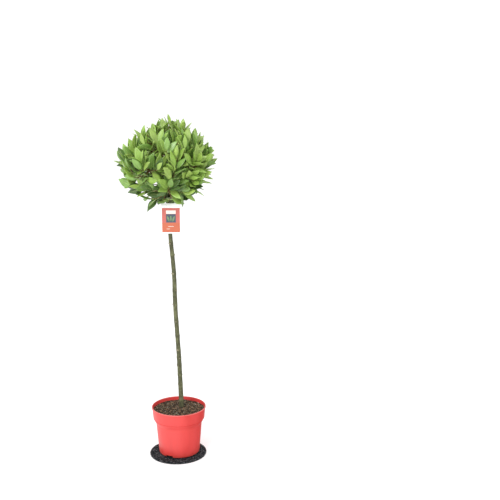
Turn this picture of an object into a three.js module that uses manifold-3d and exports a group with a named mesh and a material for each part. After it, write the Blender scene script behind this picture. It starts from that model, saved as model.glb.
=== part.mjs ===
// A standard bay tree in a nursery pot: a round clipped head on a bare trunk.
// Millimetres, +Z up. The origin is on the pot's axis, level with the underside, and -Y is the
// front.
import * as THREE from "three";
import { mergeVertices } from "three/addons/utils/BufferGeometryUtils.js";
import Module from "manifold-3d";

const wasm = await Module();
wasm.setup();

// Driving sizes
const GAP = 0.3; // between solids that touch on the real plant
const SHORTEST_EDGE = 0.01;
const MAT = { radius: 127, thick: 8, aside: [-5, -8], sides: 36 }; // not quite below the pot
const POT = {
  height: 215,
  rimRadius: 122,
  footRadius: 92.5,
  wall: 2,
  bodyFoot: 12, // where the body's wall starts above the foot
  bodyTaper: 10.5, // how much wider the body is at its top
  bandHeight: 52, // the deep collar below the rim
  bandInset: 6.5, // how much narrower the collar is than the rim
  stepHeight: 24, // the slope from the collar in to the body
  footRing: 10, // width of the ring that the pot stands on
  floorUnder: 6,
  floorThick: 2.5,
  sides: 36,
};
const NOTCH = { count: 3, width: 34, height: 9, depth: 24, firstTurn: -118 };
const COMPOST_BELOW_RIM = 15;
const MOUND = { height: 6, topRadius: 34, footRadius: 95 }; // the compost rises to the trunk
const TRUNK = { radius: 8.8, flare: 1.6, thinning: 3.3, sides: 10, steps: 22 };
const HEAD = {
  centre: new THREE.Vector3(-41, 0, 1334),
  reach: new THREE.Vector3(226, 226, 205), // from the centre to the furthest leaf tips
  upperPower: 1.62, // below 2 the outline falls in on the diagonals
  lowerPower: 2.1,
  hang: 0.1, // how much further the lowest leaves reach
};
// Where the head is clipped flatter: the direction, and by how much
const FLATTER = [
  { towards: new THREE.Vector3(-0.72, 0, 0.69), by: 0.08 },
  { towards: new THREE.Vector3(0.75, 0, -0.66), by: 0.06 },
];
const BOUGH = { rootRadius: 5, tipRadius: 3, sides: 6, steps: 3 };
const TWIG = { rootRadius: 2.6, tipRadius: 1.3, sides: 3, steps: 2 };
const SHOOTS = { perMass: 7, spread: 28, reach: 0.72, leadBend: 6, bend: 16 };
const LEAF = { length: 94, width: 36, thick: 2.4, perShoot: 7, fold: 0.16, droop: 0.09 };
const LABEL = { width: 88, height: 132, thick: 0.9, strapLevel: 1140, strapHeight: 12, aside: 13 };

// Levels that follow from them
const POT_FOOT = MAT.thick;
const RIM_LEVEL = POT_FOOT + POT.height;
const TRUNK_FOOT = RIM_LEVEL - COMPOST_BELOW_RIM + MOUND.height;

// The rings of foliage masses that make up the head, from the lowest to the top
const RINGS = [
  { name: "lower", count: 4, rise: -40, turn: 12, forkLevel: 1150, bough: 0.55 },
  { name: "middle", count: 4, rise: 0, turn: 57, forkLevel: 1192, bough: 0.5 },
  { name: "upper", count: 3, rise: 42, turn: 20, forkLevel: 1246, bough: 0.55 },
  { name: "crown", count: 1, rise: 90, turn: 0, forkLevel: 1290, bough: 0.5 },
];

const UP = new THREE.Vector3(0, 0, 1);
const GOLDEN_TURN = THREE.MathUtils.degToRad(137.5);

// The same numbers for the same seed, from 0 to 1.
function seededRandom(seed) {
  let state = seed;
  return () => {
    state = (state + 0x6d2b79f5) | 0;
    let mixed = Math.imul(state ^ (state >>> 15), 1 | state);
    mixed = (mixed + Math.imul(mixed ^ (mixed >>> 7), 61 | mixed)) ^ mixed;
    return ((mixed ^ (mixed >>> 14)) >>> 0) / 4294967296;
  };
}

// A closed geometry as a solid that can be joined and cut.
function solidOf(geometry) {
  const bare = geometry.clone();
  bare.deleteAttribute("normal");
  bare.deleteAttribute("uv");
  const merged = mergeVertices(bare, 1e-3);
  return new wasm.Manifold(
    new wasm.Mesh({
      numProp: 3,
      vertProperties: merged.attributes.position.array,
      triVerts: new Uint32Array(merged.index.array),
    }),
  );
}

// A solid as a geometry, without loose scraps or the hollows that a join has sealed.
function geometryOf(solid) {
  const whole = solid.decompose().sort((a, b) => b.volume() - a.volume())[0];
  const mesh = whole.getMesh();
  const geometry = new THREE.BufferGeometry();
  geometry.setAttribute("position", new THREE.BufferAttribute(mesh.vertProperties, 3));
  geometry.setIndex(new THREE.BufferAttribute(mesh.triVerts, 1));
  const flat = geometry.toNonIndexed();
  flat.computeVertexNormals();
  return flat;
}

// A round body turned about the Z axis from [radius, height] pairs.
function turned(profile, sides) {
  const points = profile.map(([radius, height]) => new THREE.Vector2(radius, height));
  return new THREE.LatheGeometry(points, sides).rotateX(Math.PI / 2);
}

// Two directions across an axis, the same turn about it for axes that lie near each other.
function across(axis, side = Math.abs(axis.z) > 0.9 ? new THREE.Vector3(1, 0, 0) : UP) {
  const first = new THREE.Vector3().crossVectors(side, axis).normalize();
  return [first, new THREE.Vector3().crossVectors(axis, first)];
}

// A tapering round limb: a closed cylinder bent onto a curve, cut square at both ends.
function limb(curve, radiusAt, sides, steps) {
  const geometry = new THREE.CylinderGeometry(1, 1, 1, sides, steps);
  const place = geometry.attributes.position;
  const middle = curve.getTangentAt(0.5);
  const side = Math.abs(middle.z) > 0.8 ? new THREE.Vector3(1, 0, 0) : UP;
  for (let i = 0; i < place.count; i++) {
    const along = place.getY(i) + 0.5;
    const radius = radiusAt(along);
    const [first, second] = across(curve.getTangentAt(along), side);
    const point = curve
      .getPointAt(along)
      .addScaledVector(second, place.getX(i) * radius)
      .addScaledVector(first, place.getZ(i) * radius);
    place.setXYZ(i, point.x, point.y, point.z);
  }
  return geometry;
}

// The disc that the pot stands on.
function matGeometry() {
  const { radius, thick, aside, sides } = MAT;
  const disc = turned([[0, 0], [radius, 0], [radius, thick], [0, thick]], sides);
  return disc.translate(...aside, 0);
}

// The pot's outer wall as [radius, height above its foot] pairs, from the foot up.
function potWall() {
  const { height, rimRadius, footRadius, bodyFoot, bodyTaper, bandHeight, bandInset } = POT;
  const bandFoot = height - bandHeight;
  return [
    [footRadius, bodyFoot],
    [footRadius + bodyTaper, bandFoot - POT.stepHeight],
    [rimRadius - bandInset - 1, bandFoot - 3],
    [rimRadius - bandInset, bandFoot],
    [rimRadius - 2.2, height - 6],
  ];
}

// That wall moved inwards by a distance, as its inner face.
function potLining(distance) {
  return potWall().map(([radius, height]) => [radius - distance, height + 0.6]);
}

// The pot: a thin shell with a raised floor, a deep collar and a rolled lip.
function potGeometry() {
  const { height, rimRadius, footRadius, wall, footRing, floorUnder, floorThick, sides } = POT;
  const profile = [
    [0, floorUnder],
    [footRadius - footRing - 1, floorUnder],
    [footRadius - footRing, 0],
    [footRadius - 5, 0],
    [footRadius - 1.5, 4],
    ...potWall(),
    [rimRadius, height - 5],
    [rimRadius, height - 1.5],
    [rimRadius - 1.2, height],
    [rimRadius - 3.4, height],
    ...potLining(wall).reverse(),
    [footRadius - wall - 3, floorUnder + floorThick],
    [0, floorUnder + floorThick],
  ];
  let shell = solidOf(turned(profile, sides));
  for (let k = 0; k < NOTCH.count; k++) {
    const turn = THREE.MathUtils.degToRad(NOTCH.firstTurn + (k * 360) / NOTCH.count);
    const block = new THREE.BoxGeometry(NOTCH.depth, NOTCH.width, NOTCH.height * 2);
    block.translate(footRadius - 2, 0, 0).rotateZ(turn);
    shell = shell.subtract(solidOf(block));
  }
  return geometryOf(shell);
}

// The compost: it fills the pot to just below the rim, clear of the wall, in a low mound.
function compostGeometry() {
  const floor = POT.floorUnder + POT.floorThick + GAP;
  const level = POT.height - COMPOST_BELOW_RIM;
  const lining = potLining(POT.wall + GAP);
  const [lipRadius, lipHeight] = lining.pop();
  const [bandRadius, bandFoot] = lining.at(-1);
  const levelShare = (level - bandFoot) / (lipHeight - bandFoot);
  const topRadius = bandRadius + (lipRadius - bandRadius) * levelShare;
  const bottomRadius = POT.footRadius - POT.wall - 4;
  const profile = [
    [0, floor],
    [bottomRadius, floor],
    ...lining,
    [topRadius, level],
    [MOUND.footRadius, level],
    [MOUND.topRadius, level + MOUND.height],
    [0, level + MOUND.height],
  ];
  return turned(profile, POT.sides);
}

// The trunk's centre line: it leans a little to the left, with slow bends, and ends in the head.
// It starts below the trunk's foot, which is cut level.
const TRUNK_LINE = new THREE.CatmullRomCurve3([
  new THREE.Vector3(11.3, 15.1, TRUNK_FOOT - 8),
  new THREE.Vector3(4, 11, 440),
  new THREE.Vector3(-2, 8, 560),
  new THREE.Vector3(-8.7, 5, 690),
  new THREE.Vector3(-11.5, 3, 840),
  new THREE.Vector3(-24, 1, 1000),
  new THREE.Vector3(-41, 0, 1290),
]);

// The trunk hardly tapers until it is inside the head.
function trunkRadius(along) {
  return TRUNK.radius + TRUNK.flare * Math.exp(-along * 8) - TRUNK.thinning * along ** 5;
}

// The trunk, or with a clearance the space that other limbs keep out of.
function trunkSolid(clearance = 0) {
  const radiusAt = (along) => trunkRadius(along) + clearance;
  const solid = solidOf(limb(TRUNK_LINE, radiusAt, TRUNK.sides, TRUNK.steps));
  const foot = new THREE.BoxGeometry(80, 80, 40).translate(0, 0, TRUNK_FOOT - 20);
  return clearance ? solid : solid.subtract(solidOf(foot));
}

// How far along the trunk's line a level lies.
function trunkAt(level) {
  let low = 0;
  let high = 1;
  for (let k = 0; k < 24; k++) {
    const middle = (low + high) / 2;
    if (TRUNK_LINE.getPointAt(middle).z < level) low = middle;
    else high = middle;
  }
  return low;
}

// The head's outline in a direction, as a share of its reach.
function outline(direction) {
  const power = direction.z > 0 ? HEAD.upperPower : HEAD.lowerPower;
  const level = Math.hypot(direction.x, direction.y);
  const diagonal = (level ** power + Math.abs(direction.z) ** power) ** (-1 / power);
  const hanging = HEAD.hang * Math.max(0, -direction.z) ** 2;
  return FLATTER.reduce(
    (reach, { towards, by }) => reach - by * Math.max(0, direction.dot(towards)) ** 3,
    diagonal + hanging,
  );
}

// A point of the head: a direction from its centre, and a share of the way to the outline.
function headPoint(direction, share) {
  const reach = share * outline(direction);
  return direction.clone().multiply(HEAD.reach).multiplyScalar(reach).add(HEAD.centre);
}

// How far out a point lies: 1 at the outline.
function outwards(point) {
  const offset = point.clone().sub(HEAD.centre).divide(HEAD.reach);
  const far = offset.length();
  return far / outline(offset.normalize());
}

// The direction with a turn about the Z axis and a rise above level, in degrees.
function directionOf(turn, rise) {
  const [a, b] = [turn, rise].map(THREE.MathUtils.degToRad);
  return new THREE.Vector3(Math.cos(b) * Math.cos(a), Math.cos(b) * Math.sin(a), Math.sin(b));
}

// Each mass has a direction, a middle that its space is nearest to, and a bough that carries it.
const MASSES = RINGS.flatMap((ring, level) =>
  Array.from({ length: ring.count }, (_, k) => {
    const direction = directionOf(ring.turn + (k * 360) / ring.count, ring.rise);
    const middle = headPoint(direction, 0.66);
    const fork = TRUNK_LINE.getPointAt(trunkAt(Math.min(ring.forkLevel + 9 * k, 1289)));
    const tip = fork.clone().lerp(middle, ring.bough);
    const name = ring.count > 1 ? `${ring.name}_${k + 1}` : ring.name;
    return { name, direction, middle, fork, tip, seed: 100 * level + k };
  }),
);

// The bough's line: it leaves the trunk upwards and outwards.
function boughLine({ fork, tip }) {
  const knee = fork.clone().lerp(tip, 0.5).add(new THREE.Vector3(0, 0, -6));
  return new THREE.QuadraticBezierCurve3(fork, knee, tip);
}

function boughSolid(mass) {
  const line = boughLine(mass);
  const radiusAt = (along) =>
    BOUGH.rootRadius + (BOUGH.tipRadius - BOUGH.rootRadius) * along ** 0.7;
  return solidOf(limb(line, radiusAt, BOUGH.sides, BOUGH.steps));
}

// Whether a point keeps to the mass's own space, with room to its neighbours.
function inOwnSpace(point, mass, room = 0.6) {
  if (outwards(point) > 1) return false;
  const own = point.distanceToSquared(mass.middle);
  return MASSES.every((other) => {
    if (other === mass) return true;
    const apart = other.middle.distanceTo(mass.middle);
    return (point.distanceToSquared(other.middle) - own) / (2 * apart) > room;
  });
}

// Whether all edges of a solid are long enough to last when its points are rounded.
function isSound(solid) {
  const { vertProperties, triVerts } = solid.getMesh();
  const point = (i) => new THREE.Vector3().fromArray(vertProperties, triVerts[i] * 3);
  for (let i = 0; i < triVerts.length; i++) {
    const next = i % 3 === 2 ? i - 2 : i + 1;
    if (point(i).distanceToSquared(point(next)) < SHORTEST_EDGE ** 2) return false;
  }
  return true;
}

// A shoot's twig, three-sided and tapering.
function twigSolid(line, share = 1) {
  const radiusAt = (along) =>
    share * (TWIG.rootRadius + (TWIG.tipRadius - TWIG.rootRadius) * along);
  return solidOf(limb(line, radiusAt, TWIG.sides, TWIG.steps));
}

// Whether a shoot keeps to the mass's own space, clear of the limbs.
function isFree({ line, twig }, mass, limbs) {
  return (
    line.getPoints(6).every((point) => inOwnSpace(point, mass, TWIG.rootRadius + 1)) &&
    limbs.every((solid) => solid.intersect(twig).isEmpty())
  );
}

// Ways to set a side shoot, the widest first: its share of the spread, and a turn aside.
const SHOOT_TRIES = [1.3, 1.15, 1, 0.9, 0.8, 0.7, 0.6, 0.5].flatMap((spread) =>
  [0, 0.35, -0.35].map((turn) => [spread, turn]),
);

// A side shoot's line: from its root on the leading shoot out to the head's outer part.
function sideLine(mass, root, spread, turn, length) {
  const [first, second] = across(mass.direction);
  const wide = Math.tan(THREE.MathUtils.degToRad(spread));
  const direction = mass.direction
    .clone()
    .addScaledVector(first, Math.cos(turn) * wide)
    .addScaledVector(second, Math.sin(turn) * wide)
    .normalize();
  const tip = headPoint(direction, length);
  const bend = root.clone().lerp(tip, 0.55).addScaledVector(UP, -SHOOTS.bend);
  return new THREE.QuadraticBezierCurve3(root, bend, tip);
}

// The leading shoot's line: it goes on from the bough's tip, 0.3 mm clear of it.
function leadingLine(mass) {
  const onward = boughLine(mass).getTangentAt(1);
  const start = mass.tip.clone().addScaledVector(onward, GAP);
  const tip = headPoint(mass.direction, SHOOTS.reach + 0.02);
  const knee = start.clone().addScaledVector(onward, start.distanceTo(tip) / 2);
  knee.addScaledVector(UP, -SHOOTS.leadBend);
  return new THREE.QuadraticBezierCurve3(start, knee, tip);
}

// A mass's shoots: the leading one, and others that leave it in turn and bend upwards, spread
// as wide as the mass's space lets them.
function grownShoots(mass, random, limbs) {
  const lead = leadingLine(mass);
  const shoots = [{ line: lead, twig: twigSolid(lead) }];
  let solid = shoots[0].twig;
  const sideShoots = SHOOTS.perMass - 1;
  for (let k = 0; k < sideShoots; k++) {
    const root = lead.getPointAt(0.1 + (0.55 * k) / sideShoots);
    const phase = (k * 2 * Math.PI) / sideShoots + 0.6 + 0.5 * random();
    const length = SHOOTS.reach + 0.06 * random();
    for (const [share, shift] of SHOOT_TRIES) {
      const line = sideLine(mass, root, SHOOTS.spread * share, phase + shift, length);
      const shoot = { line, twig: twigSolid(line, 0.85) };
      if (!isFree(shoot, mass, limbs)) continue;
      const joined = solid.add(shoot.twig);
      if (!isSound(joined)) continue;
      shoots.push(shoot);
      solid = joined;
      break;
    }
  }
  return { shoots, solid };
}

// One leaf along +X from its root, with 12 faces, folded along its rib and drooping to its tip.
function leafGeometry(size) {
  const length = LEAF.length * size;
  const width = (LEAF.width * size) / Math.sin(Math.PI / 3);
  const geometry = new THREE.SphereGeometry(0.5, 6, 2);
  geometry.scale(length, LEAF.thick, width).translate(length / 2, 0, 0);
  const place = geometry.attributes.position;
  for (let i = 0; i < place.count; i++) {
    const share = place.getX(i) / length;
    const lift = LEAF.fold * Math.abs(place.getZ(i)) - LEAF.droop * length * share * share;
    place.setY(i, place.getY(i) + lift);
  }
  return geometry;
}

// The leaf's place on a shoot: its root, the way it points and the way its upper side faces.
function leafMatrix(root, axis, turn, lean, climb) {
  const [first, second] = across(axis);
  const side = first.multiplyScalar(Math.cos(turn)).addScaledVector(second, Math.sin(turn));
  const along = axis
    .clone()
    .multiplyScalar(Math.cos(lean))
    .addScaledVector(side, Math.sin(lean))
    .lerp(UP, climb)
    .normalize();
  const face = axis.clone().addScaledVector(along, -axis.dot(along)).normalize();
  const third = new THREE.Vector3().crossVectors(along, face);
  return new THREE.Matrix4().makeBasis(along, face, third).setPosition(root);
}

// Whether a point would stand before the label, seen from the front and a little above.
function hidesLabel(point) {
  const centre = TRUNK_LINE.getPointAt(trunkAt(LABEL.strapLevel));
  const ahead = centre.y - point.y;
  const beside = Math.abs(point.x - centre.x - LABEL.aside) - LABEL.width / 2;
  return ahead > 0 && beside < 4 && point.z < LABEL.strapLevel + 14 + 0.16 * ahead;
}

// Ways to set a leaf, the wished one first: turned on its shoot, leaning less, or smaller.
const LEAF_TRIES = [0, 0.35, -0.35, 0.7, -0.7, 1.05, -1.05, 1.4, -1.4, 2, -2, 2.6, -2.6].flatMap(
  (turn) => [[1, 1], [0.75, 1], [1.2, 1], [0.85, 0.85], [0.55, 0.85]].map((way) => [turn, ...way]),
);

// A mass with one leaf more, set in the first of those ways that keeps to the space, touches
// nothing and joins soundly, or the mass as it was.
function withLeaf({ solid, leaves }, { root, axis, turn, lean, climb, size }, mass, limbs) {
  for (const [shift, leanShare, sizeShare] of LEAF_TRIES) {
    const geometry = leafGeometry(size * sizeShare);
    geometry.applyMatrix4(leafMatrix(root, axis, turn + shift, lean * leanShare, climb));
    const place = geometry.attributes.position;
    const corners = Array.from({ length: place.count }, (_, i) =>
      new THREE.Vector3().fromBufferAttribute(place, i),
    );
    if (!corners.every((corner) => inOwnSpace(corner, mass) && !hidesLabel(corner))) continue;
    const leaf = solidOf(geometry);
    if (![...limbs, ...leaves].every((other) => other.intersect(leaf).isEmpty())) continue;
    const grown = solid.add(leaf);
    if (isSound(grown)) return { solid: grown, leaves: [...leaves, leaf] };
  }
  return { solid, leaves };
}

// The leaves of a shoot: a spiral that opens wide low down and closes towards the tip. They
// point up the more, the higher they stand in the head.
function shootLeaves(line, random) {
  const phase = random() * 2 * Math.PI;
  return Array.from({ length: LEAF.perShoot }, (_, k) => {
    const share = k / (LEAF.perShoot - 1);
    const along = 0.36 + 0.62 * share;
    const root = line.getPointAt(along);
    const height = 0.5 + (root.z - HEAD.centre.z) / (2 * HEAD.reach.z);
    return {
      root,
      axis: line.getTangentAt(along).lerp(UP, 0.05 + 0.35 * height).normalize(),
      climb: 0.4 * Math.min(1, 1.8 * height) - 0.12,
      turn: phase + k * GOLDEN_TURN,
      lean: THREE.MathUtils.degToRad(64 - 38 * share + 8 * (random() - 0.5)),
      size: (0.95 + 0.14 * (random() - 0.5)) * (1 - 0.12 * share),
    };
  });
}

// A mass: shoots that branch from one stem, with leaves in a spiral on each.
function massGeometry(mass, limbs) {
  const random = seededRandom(mass.seed);
  const { shoots, solid } = grownShoots(mass, random, limbs);
  let grown = { solid, leaves: [] };
  for (const shoot of shoots) {
    const otherTwigs = shoots.filter((other) => other !== shoot).map(({ twig }) => twig);
    for (const wish of shootLeaves(shoot.line, random)) {
      grown = withLeaf(grown, wish, mass, [...limbs, ...otherTwigs]);
    }
  }
  return geometryOf(grown.solid);
}

// The hanging label: a card in front of the trunk, with a strap round it.
function labelGeometry() {
  const at = trunkAt(LABEL.strapLevel);
  const centre = TRUNK_LINE.getPointAt(at);
  const inner = trunkRadius(at) + 0.2 + GAP;
  const outer = inner + LABEL.thick;
  const ring = new THREE.Shape().absarc(0, 0, outer, 0, 2 * Math.PI);
  ring.holes.push(new THREE.Path().absarc(0, 0, inner, 0, 2 * Math.PI, true));
  const strap = new THREE.ExtrudeGeometry(ring, {
    depth: LABEL.strapHeight,
    bevelEnabled: false,
    curveSegments: 9,
  });
  strap.translate(0, 0, -LABEL.strapHeight / 2);
  const lean = new THREE.Quaternion().setFromUnitVectors(UP, TRUNK_LINE.getTangentAt(at));
  strap.applyQuaternion(lean).translate(centre.x, centre.y, centre.z);
  const card = new THREE.BoxGeometry(LABEL.width, LABEL.thick, LABEL.height);
  card.translate(centre.x + LABEL.aside, centre.y - outer, centre.z + 10 - LABEL.height / 2);
  return geometryOf(solidOf(strap).add(solidOf(card)));
}

// Finishes
function finish(color, roughness) {
  return new THREE.MeshStandardMaterial({ color, roughness, metalness: 0, side: THREE.FrontSide });
}
const RUBBER = finish(0x24282a, 0.95);
const RED_PLASTIC = finish(0xf4504c, 0.42);
const SOIL = finish(0x4a3a2e, 0.98);
const BARK = finish(0x6f7050, 0.8);
const CARD = finish(0xf0725c, 0.5);
const FOLIAGE = finish(0x6d9440, 0.5);

const tree = new THREE.Group();
function put(name, geometry, material, height = 0) {
  const mesh = new THREE.Mesh(geometry, material);
  mesh.name = name;
  mesh.position.z = height;
  tree.add(mesh);
}

put("mat", matGeometry(), RUBBER);
put("pot", potGeometry(), RED_PLASTIC, POT_FOOT);
put("compost", compostGeometry(), SOIL, POT_FOOT);
const trunk = trunkSolid();
put("trunk", geometryOf(trunk), BARK);

const keepOut = trunkSolid(GAP);
const boughs = MASSES.map((mass) => boughSolid(mass).subtract(keepOut));
MASSES.forEach((mass, k) => put(`bough_${mass.name}`, geometryOf(boughs[k]), BARK));
MASSES.forEach((mass) =>
  put(`foliage_${mass.name}`, massGeometry(mass, [trunk, ...boughs]), FOLIAGE),
);
put("label", labelGeometry(), CARD);

export default tree;
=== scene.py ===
"""A standard bay tree in a nursery pot: bark, leaves, pot, compost, mat and label.

Sizes are in metres, +Z is up and -Y is the front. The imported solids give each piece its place.
"""

import math
import random
from dataclasses import dataclass

import bmesh
import bpy
import numpy as np
from bpy.props import FloatProperty, FloatVectorProperty, IntProperty, PointerProperty
from bpy.types import Operator, Panel, PropertyGroup
from mathutils import Matrix, Quaternion, Vector
from mathutils import noise as fields
from mathutils.bvhtree import BVHTree


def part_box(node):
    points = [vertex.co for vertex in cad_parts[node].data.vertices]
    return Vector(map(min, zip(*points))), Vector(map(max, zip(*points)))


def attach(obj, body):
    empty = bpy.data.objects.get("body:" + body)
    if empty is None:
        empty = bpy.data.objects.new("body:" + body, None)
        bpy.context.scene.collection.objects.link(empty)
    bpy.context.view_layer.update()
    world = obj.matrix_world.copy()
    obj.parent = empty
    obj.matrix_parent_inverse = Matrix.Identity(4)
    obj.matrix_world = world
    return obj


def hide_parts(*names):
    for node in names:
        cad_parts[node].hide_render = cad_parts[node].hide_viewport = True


bl_info = {
    "name": "Standard bay tree",
    "version": (1, 0, 0),
    "blender": (4, 5, 0),
    "location": "View3D > Sidebar > Bay tree",
    "description": "A clipped bay tree on a bare trunk, with its pot, compost, mat and label",
    "category": "Object",
}

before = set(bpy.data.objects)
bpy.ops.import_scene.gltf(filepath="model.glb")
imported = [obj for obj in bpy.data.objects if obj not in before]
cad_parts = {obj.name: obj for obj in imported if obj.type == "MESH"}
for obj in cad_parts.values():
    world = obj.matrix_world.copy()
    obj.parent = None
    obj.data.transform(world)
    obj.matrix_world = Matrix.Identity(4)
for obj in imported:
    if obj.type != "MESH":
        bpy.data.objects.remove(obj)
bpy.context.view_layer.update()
NODES = sorted(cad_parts)
MM = 0.001
UP = Vector((0, 0, 1))
IN_PLACE = Matrix.Identity(4)
FULL_TURN = 2 * math.pi
GOLDEN_TURN = math.radians(137.5)

# The head, as the solids have it: its centre, how far its furthest leaf tips reach, the powers
# that round it above and below its middle, how much it hangs, and the sides where it is flatter
HEAD_CENTRE = Vector((-0.041, 0, 1.334))
HEAD_REACH = Vector((0.226, 0.226, 0.205))
UPPER_POWER = 1.62
LOWER_POWER = 2.1
HANG = 0.1
FLATTER = [(Vector((-0.72, 0, 0.69)), 0.08), (Vector((0.75, 0, -0.66)), 0.06)]

# Its rings of masses: count, rise and turn in degrees, lowest fork's level, bough's share. Then how
# far out a mass has its middle, the step between two forks, the highest one and a bough's sag
RINGS = [
    (4, -40, 12, 1.150, 0.55),
    (4, 0, 57, 1.192, 0.5),
    (3, 42, 20, 1.246, 0.55),
    (1, 90, 0, 1.290, 0.5),
]
MIDDLE_SHARE = 0.66
FORK_STEP = 0.009
HIGHEST_FORK = 1.289
BOUGH_SAG = 0.006

# Shoots: how far they spread and reach, how they bend, the room between two masses, and the
# radii at foot and tip
SHOOT_SPREAD = math.radians(28)
SHOOT_REACH = 0.72
SHOOTS_PER_MASS = 7
LEAD_BEND = 0.006
SHOOT_BEND = 0.016
SHOOT_ROOM = 0.0036
TWIG_ROOM = 0.002
TWIG_REACH = 0.82
SHOOT_RADII = (2.4 * MM, 1.2 * MM)
TWIG_RADII = (1.4 * MM, 0.8 * MM)

# Leaves: the seed of their draws, how far out their tips reach, the side where the head is thin,
# so that the sky shows through, the bare share at the foot of a shoot and of a twig, and the lean
# in degrees, which grows less to the shoot's tip
LEAF_SEED = 5
NEAREST_TIP = 0.89
FURTHEST_TIP = 1.02
THIN_SIDE = Vector((-0.66, -0.2, -0.72))
SHOOT_BARE = 0.30
TWIG_BARE = 0.22
FIRST_LEAN = 62
LEAN_LOSS = 38
LEAN_SPREAD = 12

# The blades' forms: keel, droop, twist and how pointed they are
BLADE_FORMS = [(0.34, 0.05, 0.12, 0.92), (0.22, 0.11, -0.2, 0.72), (0.14, 0.17, 0.3, 1.1)]
BLADE_STATIONS = 8
# The ages at which a leaf's colour goes over to the next; low down, age also stands in for painted
# shade
AGE_LIMITS = [("young", 0.24), ("fresh", 0.5), ("grown", 0.76), ("old", 9.9)]

# How far the pot widens from its foot to its step
BODY_SPREAD = 0.0105

# Grainy finishes: grains to the metre, roughness, contrast and depth of the grain
RUBBER_GRAIN = (700, 0.8, 0.4, 0.0004)
SOIL_GRAIN = (800, 0.92, 0.5, 0.0006)
SCAR_GRAIN = (600, 0.85, 0.35, 0.0004)
SHOOT_GRAIN = (260, 0.7, 0.5, 0.0003)
BUD_GRAIN = (400, 0.6, 0.25, 0.0002)
RIB_GRAIN = (300, 0.55, 0.2, 0.0001)

# Crumbly finishes: crumbs to the metre, the dark share of them and their depth
RUBBER_CRUMBS = (280, 0.7, 0.0012)
SOIL_CRUMBS = (330, 0.45, 0.0018)

# The camera that took the picture, worked out from the pot's rim and foot
CAMERA_PLACE = (0.3225, -3.767, 1.71)
CAMERA_PITCH = 0.2009
CAMERA_LENS = 63.36
FILM_WIDTH = 36


def colour(name, description, default):
    """A colour that can be changed in the sidebar."""
    return FloatVectorProperty(
        name=name, description=description, default=default, subtype="COLOR", min=0, max=1
    )


def number(name, description, default, unit="NONE"):
    """A number that can be changed in the sidebar."""
    return FloatProperty(name=name, description=description, default=default, unit=unit)


def length(name, description, default):
    """A length that can be changed in the sidebar."""
    return number(name, description, default, "LENGTH")


def count(name, description, default):
    """A count that can be changed in the sidebar."""
    return IntProperty(name=name, description=description, default=default)


class BayFoliage(PropertyGroup):
    """Sizes and colours of leaves and shoots."""

    leaf_length: length("Leaf length", "Length of a full-grown blade", 0.085)
    leaf_width: length("Leaf width", "Width of a full-grown blade", 0.037)
    leaf_thickness: length("Leaf thickness", "Thickness of a blade", 0.0009)
    stalk_length: length("Stalk length", "From the twig to the foot of the blade", 0.008)
    leaves_per_shoot: count("Leaves per shoot", "Leaves in the spiral of a main shoot", 10)
    twigs_per_shoot: count("Twigs per shoot", "Finer twigs that leave each shoot", 2)
    leaves_per_twig: count("Leaves per twig", "Leaves in the spiral of a finer twig", 6)
    young: colour("Young leaf", "Upper side of a leaf of this season", (0.30, 0.444, 0.09))
    fresh: colour("Fresh leaf", "Upper side of a leaf some weeks old", (0.274, 0.441, 0.077))
    grown: colour("Grown leaf", "Upper side of a full-grown leaf", (0.19, 0.338, 0.071))
    old: colour("Old leaf", "Upper side of last year's leaf", (0.088, 0.163, 0.04))
    underside: colour("Underside", "The paler, matt lower side", (0.33, 0.42, 0.225))
    rib: colour("Midrib", "Midribs and leaf stalks", (0.53, 0.57, 0.24))
    shoot: colour("Shoot", "Bark of the thin shoots", (0.145, 0.076, 0.031))


class BayWood(PropertyGroup):
    """Sizes and colours of trunk and boughs."""

    bark: colour("Bark", "The olive grey bark", (0.105, 0.111, 0.056))
    bark_shade: colour("Bark shade", "Darker streaks in the bark", (0.045, 0.043, 0.025))
    scar: colour("Scar", "Old leaf scars and pruned stubs", (0.215, 0.19, 0.125))
    node_swelling: number("Node swelling", "How much thicker the trunk is at a node", 0.09)
    bough_root: length("Bough root", "Radius of a bough where it leaves the trunk", 0.005)
    bough_tip: length("Bough tip", "Radius of a bough where its leaves begin", 0.003)


class BayPot(PropertyGroup):
    """Sizes and colours of pot, compost and mat."""

    red: colour("Pot red", "The pot's plastic", (0.68, 0.041, 0.0365))
    wall: length("Wall", "Thickness of the pot's wall", 0.002)
    band_height: length("Band height", "Height of the collar below the rim", 0.052)
    step_height: length("Step height", "Height of the slope below the collar", 0.024)
    foot_radius: length("Foot radius", "Radius of the pot near its foot", 0.0925)
    notch_width: length("Notch width", "Width of the gaps in the foot", 0.036)
    notch_height: length("Notch height", "Height of the gaps in the foot", 0.0102)
    compost: colour("Compost", "The darker compost", (0.037, 0.026, 0.018))
    crumb: colour("Crumb", "The browner crumbs", (0.165, 0.10, 0.06))
    grey_crumb: colour("Grey crumb", "The grey green crumbs", (0.20, 0.195, 0.14))
    chip: colour("Chip", "Bark chips in the compost", (0.34, 0.21, 0.11))
    grit: colour("Grit", "Pale grit in the compost", (0.75, 0.71, 0.60))
    mat: colour("Mat", "The mat's black crumb", (0.009, 0.0125, 0.0145))
    fleck: colour("Fleck", "Paler crumb in the mat", (0.135, 0.14, 0.15))


class BayLabel(PropertyGroup):
    """Colours of the hanging label."""

    card: colour("Card", "The bare card and its strap", (0.98, 0.98, 0.97))
    panel: colour("Panel", "The printed panel", (0.54, 0.138, 0.115))
    lower_field: colour("Lower field", "The lower part of the panel", (0.53, 0.137, 0.073))
    slate: colour("Slate", "The dark field", (0.067, 0.094, 0.13))
    cream: colour("Cream", "The pale strip", (0.80, 0.75, 0.68))
    leaf: colour("Leaf motif", "The printed leaves", (0.18, 0.27, 0.15))


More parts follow.
